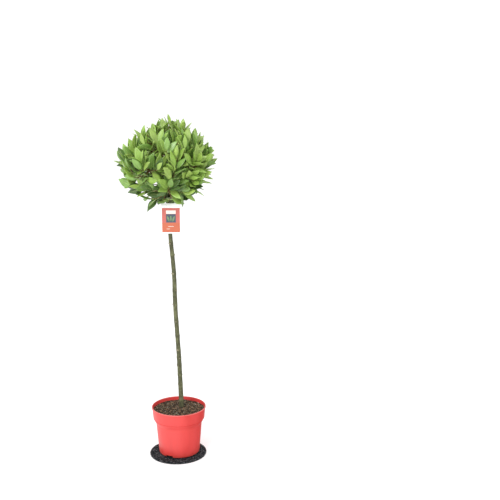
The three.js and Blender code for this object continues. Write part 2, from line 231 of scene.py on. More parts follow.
class BayStage(PropertyGroup):
    """The floor and the light."""

    floor: colour("Floor", "The pale floor", (0.94, 0.94, 0.94))
    floor_glow: number("Floor glow", "Keeps the floor white where it is far off", 0.1)
    sky: number("Sky", "Strength of the light all round", 1.11)
    below_share: number("Share below", "How much of it the pot mirrors from below", 0.02)
    key: number("Key", "Power of the main light", 88, "POWER")
    fill: number("Fill", "Power of the weaker light", 3, "POWER")


SETTINGS = {
    "bay_foliage": BayFoliage,
    "bay_wood": BayWood,
    "bay_pot": BayPot,
    "bay_label": BayLabel,
    "bay_stage": BayStage,
}


# Modelling

def select_only(*pieces):
    """Selects these pieces and nothing else. The first one becomes the active one."""
    bpy.ops.object.select_all(action="DESELECT")
    for piece in pieces:
        piece.select_set(True)
    if pieces:
        bpy.context.view_layer.objects.active = pieces[0]


def added(add, **options):
    """A new primitive, alone selected, in edit mode."""
    select_only()
    add(**options)
    bpy.ops.object.mode_set(mode="EDIT")
    return bpy.context.object


def leave_edit(piece):
    """Back to object mode, with doubles merged, faces outward and the place in the mesh."""
    bpy.ops.mesh.select_all(action="SELECT")
    bpy.ops.mesh.remove_doubles(threshold=1e-6)
    bpy.ops.mesh.normals_make_consistent(inside=False)
    bpy.ops.object.mode_set(mode="OBJECT")
    bpy.ops.object.transform_apply(location=True, rotation=True, scale=True)
    return piece


def apply_modifier(piece, kind, **settings):
    """Adds a modifier with these settings and applies it."""
    bpy.context.view_layer.objects.active = piece
    modifier = piece.modifiers.new(kind.title(), kind)
    for key, value in settings.items():
        setattr(modifier, key, value)
    bpy.ops.object.modifier_apply(modifier=modifier.name)


def roughened(piece, grain, depth, group=""):
    """Gives a surface uneven relief with bumps of about this size and depth."""
    texture = bpy.data.textures.new(piece.name + "_relief", "CLOUDS")
    texture.noise_scale = grain
    apply_modifier(
        piece, "DISPLACE", texture=texture, strength=depth, mid_level=0.5, vertex_group=group
    )


def above(piece, level):
    """Puts the points above a level into a vertex group, and gives its name."""
    chosen = [vertex.index for vertex in piece.data.vertices if vertex.co.z > level]
    piece.vertex_groups.new(name="top").add(chosen, 1, "REPLACE")
    return "top"


def ringed(rings, sides, rotation=(0, 0, 0), fill_type="NGON"):
    """A round body: a disc or open ring is extruded from each (centre, radius) on to the next."""
    centre, radius = rings[0]
    piece = added(
        bpy.ops.mesh.primitive_circle_add,
        vertices=sides,
        radius=radius,
        location=centre,
        rotation=rotation,
        fill_type=fill_type,
    )
    for next_centre, next_radius in rings[1:]:
        bpy.ops.mesh.extrude_region_move()
        bpy.ops.transform.translate(value=Vector(next_centre) - Vector(centre))
        grow = next_radius / radius
        bpy.ops.transform.resize(value=(grow, grow, grow), center_override=next_centre)
        centre, radius = next_centre, next_radius
    return leave_edit(piece)


def moved(line, out, up):
    """A line of (radius, height) pairs, moved outwards and up."""
    return [(radius + out, height + up) for radius, height in line]


def turned(profile, sides, axis=(0, 0), **options):
    """A round body about an upright axis from (radius, height) pairs."""
    return ringed([(Vector((*axis, height)), radius) for radius, height in profile], sides, **options)


def finish_piece(piece, name, materials, replaced=(), crease=None):
    """Names a piece, gives it its finishes and lets it ride on the tree's one body. With a crease
    angle, in degrees, it is shaded smooth where faces meet at less than that."""
    if crease:
        select_only(piece)
        bpy.ops.object.shade_smooth_by_angle(angle=math.radians(crease))
    piece.name = name
    piece.data.name = name
    for material in materials:
        piece.data.materials.append(material)
    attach(piece, "root")
    if replaced:
        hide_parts(*replaced)


@dataclass
class Shape:
    """A small mesh as arrays, to be copied many times."""

    points: np.ndarray
    faces: list
    slots: list
    uvs: np.ndarray

    def placed(self, matrix):
        """Its points after a move."""
        return self.points @ np.array(matrix.to_3x3()).T + np.array(matrix.translation)


def taken_shape(piece):
    """A modelled piece's mesh as a Shape. The piece itself is removed."""
    mesh = piece.data
    points = np.array([vertex.co for vertex in mesh.vertices])
    faces = [list(face.vertices) for face in mesh.polygons]
    slots = [face.material_index for face in mesh.polygons]
    uvs = np.zeros((len(mesh.loops), 2))
    if mesh.uv_layers:
        uvs = np.array([loop.uv for loop in mesh.uv_layers.active.data])
    bpy.data.objects.remove(piece)
    return Shape(points, faces, slots, uvs)


def tube_shape(points, radii, sides):
    """A tube through points, closed at both ends, as a Shape."""
    points = [Vector(point) for point in points]
    vertices = []
    first = None
    for k, point in enumerate(points):
        axis = (points[min(k + 1, len(points) - 1)] - points[max(k - 1, 0)]).normalized()
        if first is None:
            first = across(axis)[0]
        first = (first - axis * axis.dot(first)).normalized()
        second = axis.cross(first)
        for side in range(sides):
            turn = FULL_TURN * side / sides
            offset = first * math.cos(turn) + second * math.sin(turn)
            vertices.append(point + offset * radii[k])
    faces = [list(range(sides))[::-1], list(range(len(vertices) - sides, len(vertices)))]
    for k in range(0, len(vertices) - sides, sides):
        for side in range(sides):
            low, next_low = k + side, k + (side + 1) % sides
            faces.append([low, next_low, next_low + sides, low + sides])
    loops = sum(len(face) for face in faces)
    return Shape(np.array(vertices), faces, [0] * len(faces), np.zeros((loops, 2)))


def add_copies(name, copies, materials, replaced=(), smooth=True):
    """One finished piece from many (Shape, Matrix) pairs."""
    faces, slots = [], []
    base = 0
    for shape, _ in copies:
        faces.extend([corner + base for corner in face] for face in shape.faces)
        slots.extend(shape.slots)
        base += len(shape.points)
    points = np.concatenate([shape.placed(matrix) for shape, matrix in copies])
    uvs = np.concatenate([shape.uvs for shape, _ in copies])
    mesh = bpy.data.meshes.new(name)
    mesh.from_pydata(points.tolist(), [], faces)
    mesh.uv_layers.new(name="UVMap").data.foreach_set("uv", uvs.ravel())
    mesh.polygons.foreach_set("material_index", slots)
    mesh.polygons.foreach_set("use_smooth", [smooth] * len(faces))
    mesh.update()
    piece = bpy.data.objects.new(name, mesh)
    bpy.context.collection.objects.link(piece)
    finish_piece(piece, name, materials, replaced)


# Materials

class Nodes:
    """The shader nodes of a material or of the light all round."""

    def __init__(self, owner):
        owner.use_nodes = True
        self.owner = owner
        self.tree = owner.node_tree

    def feed(self, socket, value):
        """Gives a socket a plain value, or links another node's output to it."""
        if isinstance(value, bpy.types.NodeSocket):
            self.tree.links.new(value, socket)
        else:
            socket.default_value = value

    def add(self, kind, attributes=None, **inputs):
        """A new node's outputs. An input is named, or numbered after an underscore."""
        new = self.tree.nodes.new("ShaderNode" + kind)
        for key, value in (attributes or {}).items():
            setattr(new, key, value)
        for key, value in inputs.items():
            socket = new.inputs[int(key[1:]) if key[1:].isdigit() else key.replace("_", " ")]
            self.feed(socket, value)
        return new.outputs

    def math(self, operation, *values):
        """One step of arithmetic."""
        numbered = {f"_{k}": value for k, value in enumerate(values)}
        return self.add("Math", {"operation": operation}, **numbered)[0]

    def ramp(self, value, low, high, start=0.0, end=1.0):
        """A value between low and high spread over start to end, held beyond them."""
        ends = {"From_Min": low, "From_Max": high, "To_Min": start, "To_Max": end}
        return self.add("MapRange", Value=value, **ends)["Result"]


class Finish(Nodes):
    """A material with a pattern on the object's own coordinates."""

    def __init__(self, name, base, roughness, specular):
        super().__init__(bpy.data.materials.new(name))
        self.sockets = self.tree.nodes["Principled BSDF"].inputs
        self.sockets["Base Color"].default_value = (*base, 1)
        self.sockets["Roughness"].default_value = roughness
        self.sockets["Specular IOR Level"].default_value = specular
        self.places = {}

    def on_object(self, stretch=(1, 1, 1)):
        """The object's own coordinates, squeezed by this much along X, Y and Z."""
        if stretch not in self.places:
            place = self.add("TexCoord")["Object"]
            self.places[stretch] = self.add("Mapping", Vector=place, Scale=stretch)[0]
        return self.places[stretch]

    def noise(self, scale, detail=3, roughness=0.55, stretch=(1, 1, 1)):
        """Soft noise, this many bumps to the metre."""
        settings = {"Scale": scale, "Detail": detail, "Roughness": roughness}
        return self.add("TexNoise", Vector=self.on_object(stretch), **settings)["Fac"]

    def blend(self, share, first, second):
        """A colour between two colours, each plain or linked."""
        linked = bpy.types.NodeSocket
        first, second = (tone if isinstance(tone, linked) else (*tone, 1) for tone in (first, second))
        return self.add("Mix", {"data_type": "RGBA"}, Factor=share, _6=first, _7=second)[2]

    def tint(self, first, second, value, low, high, most=1.0):
        """A colour that goes over to a second one as a value goes from low to high."""
        return self.blend(self.ramp(value, low, high, 0, most), first, second)

    def made(self, tone, height, depth, strength, roughness=None):
        """The material, with its colour, its bump height and its roughness linked."""
        self.feed(self.sockets["Base Color"], tone)
        if roughness is not None:
            self.feed(self.sockets["Roughness"], roughness)
        bump = self.add("Bump", Height=height, Distance=depth, Strength=strength)[0]
        self.feed(self.sockets["Normal"], bump)
        return self.owner


def shaded(base, share):
    """A plain colour made lighter or darker."""
    return tuple(min(1.0, channel * share) for channel in base)


def leaf_upper(name, base):
    """The glossy upper side: leaf by leaf a little lighter or darker, with side veins."""
    leaf = Finish(name, base, 0.42, 0.65)
    green = leaf.tint(shaded(base, 0.8), shaded(base, 1.18), leaf.noise(34, 2), 0.3, 0.7)
    fine = leaf.noise(420)
    green = leaf.tint(green, shaded(base, 0.7), fine, 0.35, 0.8, 0.35)
    return leaf.made(green, vein_height(leaf), 0.0003, 0.18, leaf.ramp(fine, 0.2, 0.8, 0.30, 0.46))


def leaf_under(name, base):
    """The paler, matt lower side."""
    leaf = Finish(name, base, 0.66, 0.3)
    green = leaf.tint(shaded(base, 0.78), shaded(base, 1.15), leaf.noise(38, 2), 0.3, 0.7)
    return leaf.made(green, vein_height(leaf), 0.0004, 0.5)


def vein_height(leaf):
    """Side veins that run from the midrib out and forward, as a height over the blade."""
    along, aside, _ = leaf.add("SeparateXYZ", Vector=leaf.add("UVMap", {"uv_map": "UVMap"})[0])
    out = leaf.math("ABSOLUTE", leaf.math("SUBTRACT", aside, 0.5))
    forward = leaf.math("MULTIPLY_ADD", out, -0.42, along)
    forward = leaf.math("MULTIPLY_ADD", leaf.noise(60, 2), 0.09, forward)
    return leaf.ramp(leaf.math("SINE", leaf.math("MULTIPLY", forward, 58)), 0.55, 1.0)


def bark_material(name, bark, shade):
    """Smooth olive bark with fine lengthwise streaks and small raised dots."""
    wood = Finish(name, bark, 0.78, 0.25)
    pale = shaded(bark, 1.9)
    streaks = wood.noise(520, 5, 0.6, (1, 1, 0.12))
    patches = wood.noise(34, 4, 0.65)
    cells = wood.add("TexVoronoi", Vector=wood.on_object((1, 1, 0.5)), Scale=210)
    dots = wood.ramp(cells["Distance"], 0.16, 0.26, 1, 0)
    tone = wood.tint(bark, shade, streaks, 0.42, 0.68)
    tone = wood.tint(tone, shade, patches, 0.5, 0.34, 0.45)
    tone = wood.tint(tone, pale, patches, 0.5, 0.64, 0.5)
    tone = wood.tint(tone, pale, dots, 0, 1, 0.4)
    height = wood.math("MULTIPLY_ADD", dots, 0.6, streaks)
    return wood.made(tone, height, 0.0005, 0.8, wood.ramp(streaks, 0.3, 0.7, 0.68, 0.88))


def grainy_material(name, base, grain, roughness, contrast, depth):
    """A plain earthy colour with grains of this many to the metre."""
    earth = Finish(name, base, roughness, 0.16)
    dark, light = shaded(base, 1 - contrast), shaded(base, 1 + contrast)
    tone = earth.tint(dark, light, earth.noise(grain / 4, 4), 0.3, 0.7)
    fine = earth.noise(grain, 4, 0.65)
    tone = earth.tint(tone, shaded(base, 1.3 + contrast), fine, 0.4, 0.75, 0.5)
    return earth.made(tone, fine, depth, 0.9)


def crumbly_material(name, base, light, crumbs, dark_share, depth):
    """Crumbs, this many to the metre: a share of them dark, the others of a shade between two
    colours, with darker patches."""
    earth = Finish(name, base, 0.92, 0.1)
    cells = earth.add("TexVoronoi", Vector=earth.on_object(), Scale=crumbs)
    shade = earth.add("SeparateXYZ", Vector=cells["Color"])["X"]
    tone = earth.tint(base, light, shade, dark_share, 1.0)
    tone = earth.tint(tone, shaded(base, 0.5), earth.noise(crumbs / 4), 0.45, 0.7, 0.7)
    height = earth.math("SUBTRACT", earth.noise(crumbs * 3, 3, 0.65), cells["Distance"])
    return earth.made(tone, height, depth, 0.9)


def pot_material(name, red, top):
    """Moulded plastic: an even red with a faint flow pattern, dust near the foot, scuffs, and a
    lip painted paler, partly as wear and partly as a painted highlight."""
    pot = Finish(name, red, 0.4, 0.8)
    dust, wear_and_highlight = (0.42, 0.16, 0.11), (0.72, 0.24, 0.21)
    level = pot.add("SeparateXYZ", Vector=pot.on_object())["Z"]
    flow = pot.noise(22, stretch=(1, 1, 0.25))
    speckle = pot.noise(380, 5, 0.7)
    scuffs = pot.noise(150, 2, stretch=(0.3, 0.3, 2.4))
    low = pot.ramp(level, 0.012, 0.045, 0.5, 0.0)
    # The paler band at the lip: partly wear, partly a painted highlight.
    high = pot.ramp(level, top - 0.0035, top - 0.0012, 0.0, 0.5)
    tone = pot.tint(shaded(red, 0.94), shaded(red, 1.05), flow, 0.3, 0.7)
    tone = pot.blend(pot.math("MULTIPLY", low, pot.ramp(speckle, 0.45, 0.7)), tone, dust)
    tone = pot.tint(tone, shaded(red, 1.25), scuffs, 0.66, 0.74, 0.18)
    tone = pot.blend(pot.math("MULTIPLY", high, pot.ramp(speckle, 0.3, 0.6)), tone, wear_and_highlight)
    return pot.made(tone, pot.noise(900, 2), 0.00008, 0.5, pot.ramp(flow, 0.3, 0.7, 0.34, 0.46))


def print_material(name, base, roughness=0.5):
    """Printed or bare card: a plain colour with the faint grain of print on plastic."""
    card = Finish(name, base, roughness, 0.4)
    grain = card.noise(1400, 2)
    tone = card.tint(shaded(base, 0.95), shaded(base, 1.04), grain, 0.3, 0.7)
    tone = card.tint(tone, shaded(base, 0.9), card.noise(45, 2), 0.4, 0.8, 0.25)
    return card.made(tone, grain, 0.00004, 0.4)


# The trunk's line and the head's rule, as the solids have them

def seeded_random(seed):
    """The same numbers from 0 to 1 as the solids were grown with."""
    word = 0xFFFFFFFF
    state = seed

    def draw():
        nonlocal state
        state = (state + 0x6D2B79F5) & word
        mixed = ((state ^ (state >> 15)) * (1 | state)) & word
        mixed = ((mixed + (mixed ^ (mixed >> 7)) * (61 | mixed)) & word) ^ mixed
        return (mixed ^ (mixed >> 14)) / (word + 1)

    return draw


def trunk_rings():
    """Centres and radii of the trunk solid's rings, from the foot up."""
    points = np.array([vertex.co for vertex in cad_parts["trunk"].data.vertices])
    points = points[np.argsort(points[:, 2])]
    breaks = np.where(np.diff(points[:, 2]) > 0.01)[0] + 1
    centres, radii = [], []
    for ring in np.split(points, breaks):
        centres.append((ring.min(0) + ring.max(0)) / 2)
        radii.append(np.linalg.norm(ring[:, :2] - centres[-1][:2], axis=1).max())
    return np.array(centres), np.array(radii)


TRUNK_CENTRES, TRUNK_RADII = trunk_rings()
COMPOST_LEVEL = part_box("compost")[1].z
LABEL_LOW, LABEL_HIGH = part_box("label")


def trunk_centre(level):
    """The trunk's centre at a level."""
    heights = TRUNK_CENTRES[:, 2]
    return Vector([*(np.interp(level, heights, TRUNK_CENTRES[:, k]) for k in range(2)), level])


def trunk_radius(level):
    """The trunk's radius at a level."""
    return float(np.interp(level, TRUNK_CENTRES[:, 2], TRUNK_RADII))


def across(axis):
    """Two directions across an axis."""
    side = Vector((1, 0, 0)) if abs(axis.z) > 0.9 else UP
    first = side.cross(axis).normalized()
    return first, axis.cross(first)


def sideways(axis, turn):
    """The direction across an axis at a turn about it."""
    first, second = across(axis)
    return first * math.cos(turn) + second * math.sin(turn)


class Line:
    """A line from one point to another, bent towards a third and measured along its length."""

    STEPS = 24

    def __init__(self, start, knee, end):
        shares = np.linspace(0, 1, self.STEPS + 1)[:, None]
        start, knee, end = (np.array(point) for point in (start, knee, end))
        self.points = (1 - shares) ** 2 * start + 2 * shares * (1 - shares) * knee + shares**2 * end
        steps = np.linalg.norm(np.diff(self.points, axis=0), axis=1)
        self.length = float(steps.sum())
        self.shares = np.concatenate([[0], np.cumsum(steps)]) / self.length

    def at(self, share):
        """The point this share of the way along."""
        return Vector([np.interp(share, self.shares, self.points[:, k]) for k in range(3)])

    def direction(self, share):
        """The line's direction there."""
        return (self.at(min(share + 0.03, 1)) - self.at(max(share - 0.03, 0))).normalized()


def outline(direction):
    """The head's outline in a direction, as a share of its reach: less on the diagonals."""
    level = math.hypot(direction.x, direction.y)
    power = UPPER_POWER if direction.z > 0 else LOWER_POWER
    diagonal = (level**power + abs(direction.z) ** power) ** (-1 / power)
    hanging = HANG * max(0, -direction.z) ** 2
    clipped = sum(share * max(0, direction.dot(side)) ** 3 for side, share in FLATTER)
    return diagonal + hanging - clipped


def head_point(direction, share):
    """A point this share of the way from the head's centre to its outline."""
    return HEAD_CENTRE + direction * HEAD_REACH * (share * outline(direction))


def outwards(point):
    """How far out a point lies: 1 at the outline."""
    offset = point - HEAD_CENTRE
    scaled = Vector(offset[k] / HEAD_REACH[k] for k in range(3))
    return scaled.length / outline(scaled.normalized())


@dataclass
class Mass:
    """A mass of foliage: its seed, its direction, the middle of its space, and its bough."""

    seed: int
    direction: Vector
    middle: Vector
    bough: Line


def all_masses():
    """The head's masses, ring by ring."""
    masses = []
    for ring, (size, rise, first_turn, fork_level, share) in enumerate(RINGS):
        for k in range(size):
            turn = math.radians(first_turn + k * 360 / size)
            lift = math.radians(rise)
            direction = Vector(
                (math.cos(lift) * math.cos(turn), math.cos(lift) * math.sin(turn), math.sin(lift))
            )
            middle = head_point(direction, MIDDLE_SHARE)
            fork = trunk_centre(min(fork_level + FORK_STEP * k, HIGHEST_FORK))
            tip = fork.lerp(middle, share)
            bough = Line(fork, fork.lerp(tip, 0.5) - UP * BOUGH_SAG, tip)
            masses.append(Mass(100 * ring + k, direction, middle, bough))
    return masses


MASSES = all_masses()


def in_own_space(point, mass, room):
    """Whether a point keeps to the mass's own space, with room to its neighbours."""
    if outwards(point) > 1:
        return False
    own = (point - mass.middle).length_squared
    for other in MASSES:
        if other is mass:
            continue
        apart = (other.middle - mass.middle).length
        if ((point - other.middle).length_squared - own) / (2 * apart) <= room:
            return False
    return True


def leading_line(mass):
    """The leading shoot's line, which goes on from the bough."""
    start = mass.bough.at(1)
    tip = head_point(mass.direction, SHOOT_REACH + 0.02)
    knee = start + mass.bough.direction(1) * ((tip - start).length / 2) - UP * LEAD_BEND
    return Line(start, knee, tip)


def widest_side_line(mass, root, phase, share):
    """The widest side shoot that keeps to the mass's own space, if any does, from its root on
    the leading shoot to the head's outer part."""
    first, second = across(mass.direction)
    for spread in (1.3, 1.15, 1, 0.9, 0.8, 0.7, 0.6, 0.5):
        wide = math.tan(SHOOT_SPREAD * spread)
        for shift in (0, 0.35, -0.35):
            turn = phase + shift
            aside = first * (math.cos(turn) * wide) + second * (math.sin(turn) * wide)
            tip = head_point((mass.direction + aside).normalized(), share)
            line = Line(root, root.lerp(tip, 0.55) - UP * SHOOT_BEND, tip)
            if all(in_own_space(line.at(k / 6), mass, SHOOT_ROOM) for k in range(7)):
                return line
    return None


@dataclass
class Shoot:
    """A leafy shoot: its line, its radius at both ends, and how many leaves it carries."""

    line: Line
    root_radius: float
    tip_radius: float
    leaves: int
    main: bool


def shoots_of(mass, foliage):
    """A mass's shoots by the solids' rule, and the finer twigs that leave them."""
    draw = seeded_random(mass.seed)
    lead = leading_line(mass)
    lines = [lead]
    side_shoots = SHOOTS_PER_MASS - 1
    for k in range(side_shoots):
        root = lead.at(0.1 + 0.55 * k / side_shoots)
        phase = k * FULL_TURN / side_shoots + 0.6 + 0.5 * draw()
        line = widest_side_line(mass, root, phase, SHOOT_REACH + 0.06 * draw())
        if line:
            lines.append(line)
    shoots = [Shoot(line, *SHOOT_RADII, foliage.leaves_per_shoot, True) for line in lines]
    return shoots + [twig for line in lines for twig in finer_twigs(mass, line, draw, foliage)]


def finer_twigs(mass, line, draw, foliage):
    """Short twigs that leave a shoot in a spiral, bend upwards and end inside the outline."""
    twigs = []
    phase = FULL_TURN * draw()
    for k in range(foliage.twigs_per_shoot):
        along = 0.34 + 0.36 * (k + draw()) / foliage.twigs_per_shoot
        root, axis = line.at(along), line.direction(along)
        aside = sideways(axis, phase + k * GOLDEN_TURN)
        heading = (axis + aside * (0.75 + 0.3 * draw()) + UP * 0.15).normalized()
        reach = 0.05 + 0.03 * draw()
        while reach > 0.02 and outwards(root + heading * reach) > TWIG_REACH:
            reach -= 0.005
        tip = root + heading * reach + UP * 0.006
        if in_own_space(tip, mass, TWIG_ROOM):
            twig = Line(root, root.lerp(tip, 0.5) - UP * 0.003, tip)
            twigs.append(Shoot(twig, *TWIG_RADII, foliage.leaves_per_twig, False))
    return twigs


# Leaves

def modelled_leaf(foliage, keel, droop, twist, point):
    """One blade along +X: a grid narrowed to a leaf's outline, creased along its rib, bent down
    to its tip, twisted a little, and given its thickness."""
    last = BLADE_STATIONS - 1
    piece = added(
        bpy.ops.mesh.primitive_grid_add,
        x_subdivisions=last,
        y_subdivisions=4,
        size=1,
        location=(0.5, 0, 0),
    )
    bpy.ops.object.mode_set(mode="OBJECT")
    bpy.ops.object.transform_apply(location=True)
    bpy.ops.object.mode_set(mode="EDIT")
    grid = bmesh.from_edit_mesh(piece.data)
    for station in range(BLADE_STATIONS):
        share = station / last
        middle = (share, 0, 0)
        for vertex in grid.verts:
            vertex.select_set(abs(vertex.co.x - share) < 0.01)
        grid.select_flush_mode()
        bmesh.update_edit_mesh(piece.data)
        narrow = max(math.sin(math.pi * share**0.93) ** point, 0.03)
        bpy.ops.transform.resize(value=(1, narrow, 1), center_override=middle)
        bpy.ops.transform.rotate(value=-twist * share, orient_axis="X", center_override=middle)
    bpy.ops.mesh.select_all(action="SELECT")
    size, width = foliage.leaf_length, foliage.leaf_width
    bpy.ops.transform.resize(value=(size, width, width), center_override=(0, 0, 0))
    for vertex in grid.verts:
        share = vertex.co.x / size
        vertex.co.z += keel * abs(vertex.co.y) - droop * size * share**2
        ripple = abs(vertex.co.y) / width * math.sin(share * 17 + 2 * vertex.co.y)
        vertex.co.z += 0.0022 * ripple
    bmesh.update_edit_mesh(piece.data)
    bpy.ops.mesh.remove_doubles(threshold=1e-5)
    bpy.ops.object.mode_set(mode="OBJECT")
    lower = {"material_offset": 1, "material_offset_rim": 1}
    apply_modifier(piece, "SOLIDIFY", thickness=foliage.leaf_thickness, offset=0, **lower)
    return taken_shape(piece)


def rib_shape(foliage, droop):
    """A leaf's stalk and midrib: one thin tapering rod from the twig nearly to the tip."""
    size, stalk = foliage.leaf_length, foliage.stalk_length
    shares = [0.0, 0.2, 0.4, 0.6, 0.78, 0.92]
    points = [(-stalk, 0, -0.0016), (-stalk * 0.4, 0, 0)]
    points += [(share * size, 0, -droop * size * share**2) for share in shares]
    radii = [1.2 * MM, 1.15 * MM] + [(1.1 - 0.7 * share) * MM for share in shares]
    return tube_shape(points, radii, 4)


def bud_shape():
    """A pointed bud along +X, from its (place, radius) pairs in mm."""
    profile = [(0, 0.9), (1.5, 1.5), (4, 1.7), (6.5, 1.1), (9, 0.15)]
    points = [(along * MM, 0, 0) for along, _ in profile]
    return tube_shape(points, [radius * MM for _, radius in profile], 6)


def leaf_matrix(root, axis, turn, lean, climb, roll, size):
    """A leaf's place: its root, the way it points and the way its upper side faces."""
    side = sideways(axis, turn)
    along = (axis * math.cos(lean) + side * math.sin(lean)).lerp(UP, climb).normalized()
    face = (axis - side * 0.1 - along * (axis - side * 0.1).dot(along)).normalized()
    face = Quaternion(along, roll) @ face
    width = face.cross(along)
    basis = Matrix((along * size, width * size, face * size)).transposed().to_4x4()
    basis.translation = root
    return basis


def thin_blade(blade, foliage):
    """A coarse leaf without thickness, as wide and as bent as a modelled blade."""
    points, faces = [], []
    middle = blade.points[np.abs(blade.points[:, 1]) < 1e-4]
    order = np.argsort(middle[:, 0])
    for share in (0.03, 0.25, 0.5, 0.75, 0.99):
        along = share * foliage.leaf_length
        spine = np.interp(along, middle[order, 0], middle[order, 2])
        edge = blade.points[np.abs(blade.points[:, 0] - along) < foliage.leaf_length / 12]
        half = np.abs(edge[:, 1]).max()
        rise = edge[np.abs(edge[:, 1]).argmax(), 2]
        points += [(along, -half, rise), (along, 0, spine), (along, half, rise)]
    for k in range(0, 12, 3):
        faces += [[k, k + 1, k + 4, k + 3], [k + 1, k + 2, k + 5, k + 4]]
    return Shape(np.array(points), faces, [], np.zeros((0, 2)))


class Crowd:
    """What stands in the head so far, so that nothing is set through something else."""

    def __init__(self):
        self.centres = np.zeros((0, 3))
        self.radii = np.zeros(0)
        self.trees = []

    def add(self, shape, matrix=IN_PLACE, only_clear=False):
        """Adds a shape at its place, if wished only where it crosses nothing, and says whether."""
        points = shape.placed(matrix)
        tree = BVHTree.FromPolygons(points.tolist(), shape.faces)
        middle = points.mean(0)
        radius = np.linalg.norm(points - middle, axis=1).max()
        gaps = np.linalg.norm(self.centres - middle, axis=1) - self.radii - radius
        near = np.where(gaps < 0)[0] if only_clear else []
        if any(tree.overlap(self.trees[k]) for k in near):
            return False
        self.centres = np.vstack([self.centres, middle])
        self.radii = np.append(self.radii, radius)
        self.trees.append(tree)
        return True


def before_label(point):
    """Whether a point would hide the label from the front."""
    ahead = LABEL_HIGH.y - point.y
    beside = max(LABEL_LOW.x - point.x, point.x - LABEL_HIGH.x)
    return ahead > 0 and beside < 0.004 and point.z < LABEL_HIGH.z + 0.004 + 0.16 * ahead


def leaf_age_and_shade(height_share, order_share, draw):
    """How old a leaf looks, from 0 to 1: older at the shoot's foot, and older low down, which is
    partly real age and partly painted shade under the head.
    """
    # Darker leaf colours low down: partly older leaves, partly painted shade.
    low = max(0, 0.4 - height_share)
    return 0.58 - 0.36 * height_share - 0.16 * order_share + 0.9 * low + 0.72 * (draw() - 0.5)


def grow_leaves(shoots, foliage, blades, crowd):
    """All leaves: on each shoot a spiral, open wide low down and closing towards the tip."""
    draw = random.Random(LEAF_SEED).random
    low = HEAD_CENTRE.z - HEAD_REACH.z
    placed = []
    for shoot in sorted(shoots, key=lambda shoot: not shoot.main):
        phase = FULL_TURN * draw()
        spray = 0.34 * (draw() - 0.5)
        heading = (shoot.line.at(1) - HEAD_CENTRE).normalized()
        thin_share = min(1, max(0, heading.dot(THIN_SIDE) - 0.6) * 3.5)
        limit = NEAREST_TIP + 0.15 * draw() ** 1.5 + 0.04 * thin_share + 0.03 * abs(heading.x)
        limit = min(limit, FURTHEST_TIP)
        bare = SHOOT_BARE if shoot.main else TWIG_BARE
        for k in range(shoot.leaves):
            if draw() < (0.85 if k < 0.7 * shoot.leaves else 0.4) * thin_share:
                continue
            share = k / (shoot.leaves - 1)
            along = bare + (1 - bare) * share
            root = shoot.line.at(along)
            height = (root.z - low) / (2 * HEAD_REACH.z)
            axis = shoot.line.direction(along).lerp(UP, 0.05 + 0.35 * height).normalized()
            climb = 0.46 * min(1, 1.8 * height) - 0.14
            lean = math.radians(FIRST_LEAN - LEAN_LOSS * share + LEAN_SPREAD * (draw() - 0.5))
            size = (0.98 + 0.3 * (draw() - 0.5)) * (1 - 0.16 * share)
            age_and_shade = leaf_age_and_shade(height, share, draw) + spray
            kind = int(draw() * len(blades))
            wish = (root, axis, phase + k * GOLDEN_TURN, lean, climb, 0.5 * (draw() - 0.5), size)
            matrix = fitting_leaf(wish, limit, blades[kind], foliage, crowd)
            if matrix:
                placed.append((matrix, kind, age_and_shade))
    return placed


def fitting_leaf(wish, limit, blade, foliage, crowd):
    """A leaf as wished, or turned, leaning or sized otherwise, where one of them fits."""
    root, axis, turn, lean, climb, roll, size = wish
    beyond_stalk = Matrix.Translation((foliage.stalk_length, 0, 0))
    for shift in (0, 0.3, -0.3, 0.6, -0.6, 1.0, -1.0):
        for lean_share, size_share in ((1, 1), (0.75, 1), (1.25, 1), (0.55, 0.9), (1, 0.8)):
            matrix = leaf_matrix(
                root, axis, turn + shift, lean * lean_share, climb, roll, size * size_share
            )
            matrix = matrix @ beyond_stalk
            marks = [matrix @ Vector((share * foliage.leaf_length, 0, 0)) for share in (0.5, 0.97)]
            if any(outwards(mark) > limit or before_label(mark) for mark in marks):
                continue
            if crowd.add(blade, matrix, only_clear=True):
                return matrix
    return None


# Loose bits on the compost and the mat

def ring_point(turn, radius):
    """The point at a turn on a level ring about the Z axis."""
    return Vector((radius * math.cos(turn), radius * math.sin(turn), 0))


def thinned_out(place, grain, chance):
    """Whether a crumb is left out. With a grain, the others lie in drifts, so many to the metre."""
    return bool(grain) and chance.uniform(-0.35, 0.35) > fields.noise(place * grain)


def crumb_matrix(place, chance, sizes, flat, long):
    """A crumb's place, turned at random, of a size between two in mm, this flat and this long."""
    size = chance.uniform(*sizes) * MM / 2
    spin = Quaternion((0, 0, 1), chance.uniform(0, FULL_TURN))
    tilt = Quaternion((1, 0, 0), chance.uniform(-0.5, 0.5))
    stretch = Matrix.Diagonal((size * long, size, size * flat, 1))
    return Matrix.Translation(place) @ (spin @ tilt).to_matrix().to_4x4() @ stretch


def add_crumbs(name, places, chance, form, material):
    """One piece of crumbs at these places, each an uneven lump with twenty faces. The form says
    between which sizes they are, how flat and how long."""
    lump = added(bpy.ops.mesh.primitive_ico_sphere_add, subdivisions=1, radius=1)
    bpy.ops.transform.vertex_random(offset=0.38, seed=3)
    crumb = taken_shape(leave_edit(lump))
    copies = [(crumb, crumb_matrix(place, chance, *form)) for place in places]
    add_copies(name, copies, [material], smooth=False)


# The operators, one for each piece or group of like pieces

